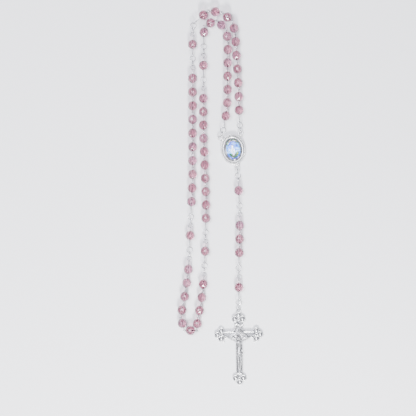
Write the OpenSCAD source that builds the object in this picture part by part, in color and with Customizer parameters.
// Rosary laid out flat on a surface: five decades of beads, centre medal, pendant chain and crucifix.
// Millimetres, +Z up, origin at the middle of the medal's flat back.

/* [Beads] */
// Diameter of every bead
bead_d = 5.8; // [5:0.1:6]
// Diameter of the hole through a bead
bead_bore = 0.8; // [0.6:0.05:1.2]

/* [Wire] */
// Diameter of the wire of the pins and rings
wire_d = 0.45; // [0.35:0.01:0.5]
// Free play left between two linked wires
wire_play = 0.07; // [0.05:0.01:0.1]
// Mean diameter of the small eyes between neighbouring beads
small_eye_d = 1.1; // [1.05:0.01:1.2]
// Mean diameter of the large eyes at the ends of a decade
large_eye_d = 2.5; // [2.2:0.05:2.8]
// Mean diameter of the round jump rings
ring_d = 3.3; // [3:0.05:3.6]
// Bare wire between a bead and a small eye
small_neck = 0.24; // [0.23:0.01:0.4]
// Bare wire between a bead and a large eye
large_neck = 1.95; // [1.6:0.05:2.4]

/* [Medal] */
// Width of the oval medal
medal_w = 15.2; // [13:0.1:16]
// Height of the oval medal
medal_h = 18.4; // [16:0.1:19]
// Thickness of the medal's cast frame
medal_t = 2.6; // [2.2:0.1:3]
// Width of the picture under the dome
picture_w = 10.2; // [8:0.1:11]
// Height of the picture under the dome
picture_h = 13.4; // [11:0.1:14]
// Turn of the medal on the surface
medal_turn = 9; // [0:1:15]

/* [Crucifix] */
// Width of the upright beam
beam_w = 4.3; // [3.5:0.1:5]
// Height of the cross arms
arm_h = 4.2; // [3.5:0.1:5]
// Thickness of the cross
cross_t = 1.8; // [1.4:0.1:2.4]
// Distance from the middle of one arm end to the other
arm_span = 21; // [18:0.5:24]
// Distance from the cross's ring down to the middle of the foot end
foot_drop = 40.6; // [36:0.2:44]

/* [Hidden] */
$fn = 48;

silver = "silver";
amethyst = "plum";

// The pins lie as high as the middle of a resting bead, the cast loops lie lower
pin_z = bead_d / 2;
loop_z = 1.45;
stem_d = wire_d - 0.04;

// Cast loops of the medal and the crucifix
loop_wire = 0.8;
loop_d = 2.6;
loop_grip = (loop_wire - wire_d) / 2;

// Distance between the middles of two linked wires
link = wire_d + wire_play;
// The two rings next to a cast loop climb from loop height to pin height
climb = asin((pin_z - loop_z) / (2 * (ring_d - link)));

// The left and the right strand differ a little in how tightly their pins were bent
left_spare = [0, 0];
right_spare = [0.12, 0.5];
pendant_spare = [0.12, 0.5];
no_spare = [0.12, 0];

// A unit is one ring or one pin with its bead:
// [near eye, far eye, heading, pitch, turn of the near eye, turn of the far eye, spare wire]
// An eye is 0 for a small one, 1 for a large one; a ring has -1. Turn 0 lies flat, 90 stands on edge.
function ring(heading, turn, pitch = 0) = [-1, -1, heading, pitch, turn, turn, [0, 0]];
function pin(near, far, heading, spare, near_turn = 0, far_turn = 90) =
    [near, far, heading, 0, near_turn, far_turn, spare];

function neck(eye, spare) = (eye == 1 ? large_neck : small_neck) + spare[eye];
function eye_size(eye) = eye == 1 ? large_eye_d : small_eye_d;
function reach(eye, spare) = bead_d / 2 + neck(eye, spare) + eye_size(eye);
function ahead(heading, pitch) =
    [cos(heading) * cos(pitch), sin(heading) * cos(pitch), sin(pitch)];

// Distance from a unit's first wire to its middle and to its last wire
function to_middle(u) = u[0] < 0 ? ring_d / 2 : reach(u[0], u[6]);
function to_end(u) = u[0] < 0 ? ring_d : reach(u[0], u[6]) + reach(u[1], u[6]);

// Links each unit into the one before it; a placed unit is [unit, middle, far wire]
function laid(units, hook, heading, pitch, i = 0) =
    i >= len(units) ? [] :
    let (
        u = units[i],
        flat = u[4] == 0,
        pull = ahead(flat ? u[2] : heading, flat ? pitch : u[3]),
        start = hook - link * pull,
        way = ahead(u[2], u[3]),
        far = start + to_end(u) * way
    )
    concat([[u, start + to_middle(u) * way, far]], laid(units, far, u[2], u[3], i + 1));

function decade(headings, spare, first_turn = 0) = [
    for (i = [0:9])
        pin(i == 0 ? 1 : 0, i == 9 ? 1 : 0, headings[i], spare, i == 0 ? first_turn : 0)
];
function ring_pair(headings) = [ring(headings[0], 0), ring(headings[1], 90)];

// Headings in whole degrees, 90 points away from the crucifix
right_units = concat(
    [ring(97, 90, climb), ring(95, 0, climb)],
    decade([92, 91, 93, 94, 94, 92, 103, 142, 172, 222], right_spare, 90),
    ring_pair([258, 268]),
    [pin(1, 1, 270, no_spare)],
    ring_pair([270, 270]),
    decade([270, 270, 270, 270, 270, 270, 270, 269, 268, 267], right_spare),
    ring_pair([268, 268]),
    [pin(1, 1, 268, no_spare)],
    ring_pair([268, 268]),
    [pin(1, 0, 265, right_spare)],
    [for (h = [262, 260, 258]) pin(0, 0, h, right_spare)]
);
left_units = concat(
    [ring(68, 90, climb), ring(72, 0, climb)],
    decade([80, 88, 90, 90, 90, 88, 98, 138, 206, 268], left_spare, 90),
    ring_pair([268, 270]),
    [pin(1, 1, 270, no_spare)],
    ring_pair([270, 270]),
    decade([270, 270, 270, 272, 273, 272, 272, 272, 270, 269], left_spare),
    ring_pair([270, 268]),
    [pin(1, 1, 268, no_spare)],
    ring_pair([266, 266]),
    [pin(1, 0, 266, left_spare)],
    [for (h = [262, 258, 264]) pin(0, 0, h, left_spare)]
);

// Middles of the medal's three loops, and the wire that each chain hooks into
left_loop = [-7.75, 7.1, loop_z];
right_loop = [4.55, 9.6, loop_z];
bail_loop = [2.5, -10.9, loop_z];
hook_r = loop_d / 2 - loop_grip;
left_hook = left_loop + hook_r * ahead(68, 0);
right_hook = right_loop + hook_r * ahead(97, 0);
bail_hook = bail_loop + hook_r * ahead(-86, 0);

right_run = laid(right_units, right_hook, 97, 0);
left_run = laid(left_units, left_hook, 68, 0);

// The last pin of each strand: the two meet at the third side of a triangle
right_end = right_run[len(right_run) - 1][2];
left_end = left_run[len(left_run) - 1][2];
right_side = 2 * reach(0, right_spare) - link;
left_side = 2 * reach(0, left_spare) - 2 * link;
span = left_end - right_end;
span_len = norm(span);
span_heading = atan2(span[1], span[0]);
right_corner = acos((right_side ^ 2 + span_len ^ 2 - left_side ^ 2) / (2 * right_side * span_len));
left_corner = acos((left_side ^ 2 + span_len ^ 2 - right_side ^ 2) / (2 * left_side * span_len));
right_last = pin(0, 0, span_heading - right_corner, right_spare, 0, 90);
left_last = pin(0, 0, span_heading + 180 + left_corner, left_spare, 0, 0);
right_strand = concat(right_run, laid([right_last], right_end, 0, 0));
left_strand = concat(left_run, laid([left_last], left_end, 0, 0));

pendant_units = [
    ring(-86, 90, climb), ring(-86, 0, climb), pin(1, 1, -87, pendant_spare, 90, 90),
    ring(-88, 0), ring(-88, 90), pin(1, 0, -90, pendant_spare),
    pin(0, 0, -91, pendant_spare), pin(0, 1, -92, pendant_spare),
    ring(-90, 0), ring(-89, 90), pin(1, 1, -90, pendant_spare),
    ring(-92, 0, -climb), ring(-92, 90, -climb)
];
pendant_strand = laid(pendant_units, bail_hook, -86, 0);
pendant_rings = [0, 1, 3, 4, 8, 9, 11, 12];
pendant_pins = [2, 5, 6, 7, 10];

// The crucifix hangs from its own cast loop
cross_heading = -89;
cross_hook = pendant_strand[12][2];
cross_loop = cross_hook + (hook_r - link) * ahead(cross_heading, 0);

module wire_eye(size, turn) {
    rotate([turn, 0, 0])
        rotate_extrude()
            translate([size / 2, 0]) circle(d = wire_d, $fn = 24);
}

module at_unit(p) {
    translate(p[1]) rotate([0, -p[0][3], p[0][2]]) children();
}

module jump_ring(p) {
    color(silver) at_unit(p) wire_eye(ring_d, p[0][4]);
}

module eye_pin(p) {
    u = p[0];
    near = bead_d / 2 + neck(u[0], u[6]);
    far = bead_d / 2 + neck(u[1], u[6]);
    color(silver) at_unit(p) {
        translate([-near, 0, 0]) rotate([0, 90, 0]) cylinder(h = near + far, d = stem_d, $fn = 24);
        translate([-near - eye_size(u[0]) / 2, 0, 0]) wire_eye(eye_size(u[0]), u[4]);
        translate([far + eye_size(u[1]) / 2, 0, 0]) wire_eye(eye_size(u[1]), u[5]);
    }
}

// A ball turned about its own hole
module bead(p) {
    color(amethyst) at_unit(p) rotate([0, 90, 0])
        rotate_extrude() difference() {
            circle(d = bead_d);
            translate([bead_bore / 2 - bead_d, -bead_d]) square([bead_d, 2 * bead_d]);
        }
}

module rings_of(strand, places) {
    for (i = places) jump_ring(strand[i]);
}

module pins_of(strand, places) {
    for (i = places) eye_pin(strand[i]);
}

module beads_of(strand, places) {
    for (i = places) bead(strand[i]);
}

function oval(w, h, steps = 72) =
    [for (i = [0:steps - 1]) [w / 2 * cos(360 * i / steps), h / 2 * sin(360 * i / steps)]];

module oval_plate(w, h, t) {
    linear_extrude(t) polygon(oval(w, h));
}

module cast_loop(centre) {
    translate(centre)
        rotate_extrude() translate([loop_d / 2, 0]) circle(d = loop_wire, $fn = 24);
}

// A short foot joins a loop to the medal's edge or to the cross
module loop_foot(centre, toward, long) {
    translate(centre)
        rotate([0, 90, toward])
            translate([0, 0, loop_d / 2]) cylinder(h = long, d = loop_wire + 0.3, $fn = 32);
}

picture_t = 0.2;
seat_z = 1.5;
edge_step = 0.35;

module medal_frame() {
    color(silver) {
        difference() {
            rotate(medal_turn) {
                oval_plate(medal_w - 2 * edge_step, medal_h - 2 * edge_step, medal_t);
                translate([0, 0, edge_step])
                    oval_plate(medal_w, medal_h, medal_t - 2 * edge_step);
            }
            translate([0, 0, seat_z]) rotate(medal_turn) oval_plate(picture_w, picture_h, medal_t);
        }
        cast_loop(left_loop);
        cast_loop(right_loop);
        cast_loop(bail_loop);
        loop_foot(left_loop, -45, 2);
        loop_foot(right_loop, -105, 1.6);
        loop_foot(bail_loop, 100, 1.6);
    }
}

module medal_picture() {
    color("deepskyblue")
        translate([0, 0, seat_z]) rotate(medal_turn) oval_plate(picture_w, picture_h, picture_t);
}

dome_rise = 1.4;
dome_r = (picture_w ^ 2 / 4 + dome_rise ^ 2) / (2 * dome_rise) + 3;

module medal_dome() {
    color("aliceblue", 0.5) rotate(medal_turn) {
        intersection() {
            translate([0, 0, seat_z + picture_t]) oval_plate(picture_w, picture_h, 4);
            translate([0, 0, medal_t + dome_rise - 0.6 - dome_r]) sphere(r = dome_r, $fn = 96);
        }
    }
}

arm_y = -14.6;
lobe_r = 1.95;
top_y = -5.2;

// A three-lobed end pointing along the given heading
module trefoil(centre, heading) {
    translate(centre) {
        for (a = [-90, 0, 90]) rotate(heading + a) translate([2.3, 0]) circle(r = lobe_r, $fn = 32);
        circle(r = 2.4, $fn = 32);
    }
}

module cross_outline() {
    translate([-beam_w / 2, -foot_drop]) square([beam_w, foot_drop + top_y]);
    translate([-arm_span / 2, arm_y - arm_h / 2]) square([arm_span, arm_h]);
    trefoil([0, top_y], 90);
    trefoil([0, -foot_drop], -90);
    trefoil([-arm_span / 2, arm_y], 180);
    trefoil([arm_span / 2, arm_y], 0);
    // Shoulders between the beam and the arms
    polygon([[-2.1, -9.5], [-3.5, arm_y + 2], [3.5, arm_y + 2], [2.1, -9.5]]);
}

module at_cross() {
    translate([cross_loop[0], cross_loop[1], 0]) rotate(cross_heading + 90) children();
}

module crucifix_cross() {
    color(silver) at_cross() {
        difference() {
            linear_extrude(cross_t) cross_outline();
            for (c = [[0, top_y], [0, -foot_drop], [-arm_span / 2, arm_y], [arm_span / 2, arm_y]])
                translate([c[0], c[1], cross_t - 0.4]) cylinder(h = 1, d = 1.6, $fn = 32);
        }
        // Blank title scroll above the head
        translate([0, -9.3, cross_t - 0.1]) linear_extrude(0.5) square([5, 1.8], center = true);
        cast_loop([0, 0, cross_loop[2]]);
        loop_foot([0, 0, cross_loop[2]], -90, 1.2);
    }
}

// Joints of the figure: [x, y, height above the cross, radius]
corpus_head = [0, -16.2, 1.1, 1.15];
corpus_neck = [0, -17.6, 0.6, 0.55];
corpus_chest = [0, -19.2, 0.6, 1.35];
corpus_waist = [0, -23.2, 0.4, 1.05];
corpus_hips = [0, -25.6, 0.5, 1.35];
corpus_knee = [0.4, -30.6, 0.9, 0.85];
corpus_foot = [0, -36.2, 0.3, 0.6];
corpus_toe = [0, -37.6, 0.1, 0.5];

module ball(j, side = 0) {
    translate([j[0] + side, j[1], cross_t + j[2]]) sphere(r = j[3], $fn = 20);
}

module crucifix_corpus() {
    color(silver) at_cross() intersection() {
        union() {
            ball(corpus_head);
            hull() {
                ball(corpus_head);
                ball(corpus_neck);
            }
            hull() {
                ball(corpus_chest, -0.7);
                ball(corpus_chest, 0.7);
                ball(corpus_waist);
            }
            hull() {
                ball(corpus_waist);
                ball(corpus_hips, -0.6);
                ball(corpus_hips, 0.6);
            }
            for (s = [-1, 1]) {
                hull() {
                    ball([s * 1.4, -18.2, 0.5, 0.75]);
                    ball([s * 5, -16.9, 0.3, 0.55]);
                }
                hull() {
                    ball([s * 5, -16.9, 0.3, 0.55]);
                    ball([s * 8.8, -14.9, 0.2, 0.45]);
                }
                hull() {
                    ball(corpus_hips, s * 0.6);
                    ball(corpus_knee, s * 0.5);
                }
                hull() {
                    ball(corpus_knee, s * 0.5);
                    ball(corpus_foot, s * 0.3);
                }
            }
            hull() {
                ball(corpus_foot);
                ball(corpus_toe);
            }
        }
        translate([-20, -50, cross_t]) cube([40, 50, 5]);
    }
}

medal_frame();
medal_picture();
medal_dome();

rings_of(left_strand, [0, 1, 12]);  // decade_1_rings
pins_of(left_strand, [2:11]);  // decade_1_pins
beads_of(left_strand, [2:11]);  // decade_1_beads
rings_of(left_strand, [13, 15]);  // our_father_1_rings
pins_of(left_strand, [14]);  // our_father_1_pin
beads_of(left_strand, [14]);  // our_father_1_bead
rings_of(left_strand, [16, 27]);  // decade_2_rings
pins_of(left_strand, [17:26]);  // decade_2_pins
beads_of(left_strand, [17:26]);  // decade_2_beads
rings_of(left_strand, [28, 30]);  // our_father_2_rings
pins_of(left_strand, [29]);  // our_father_2_pin
beads_of(left_strand, [29]);  // our_father_2_bead
rings_of(left_strand, [31]);  // decade_3_end_ring
pins_of(left_strand, [32:36]);  // decade_3_end_pins
beads_of(left_strand, [32:36]);  // decade_3_end_beads

rings_of(right_strand, [0, 1, 12]);  // decade_5_rings
pins_of(right_strand, [2:11]);  // decade_5_pins
beads_of(right_strand, [2:11]);  // decade_5_beads
rings_of(right_strand, [13, 15]);  // our_father_4_rings
pins_of(right_strand, [14]);  // our_father_4_pin
beads_of(right_strand, [14]);  // our_father_4_bead
rings_of(right_strand, [16, 27]);  // decade_4_rings
pins_of(right_strand, [17:26]);  // decade_4_pins
beads_of(right_strand, [17:26]);  // decade_4_beads
rings_of(right_strand, [28, 30]);  // our_father_3_rings
pins_of(right_strand, [29]);  // our_father_3_pin
beads_of(right_strand, [29]);  // our_father_3_bead
rings_of(right_strand, [31]);  // decade_3_start_ring
pins_of(right_strand, [32:36]);  // decade_3_start_pins
beads_of(right_strand, [32:36]);  // decade_3_start_beads

for (i = [0:7]) {
    jump_ring(pendant_strand[pendant_rings[i]]);
}
for (i = [0:4]) {
    eye_pin(pendant_strand[pendant_pins[i]]);
    bead(pendant_strand[pendant_pins[i]]);
}

crucifix_cross();
crucifix_corpus();
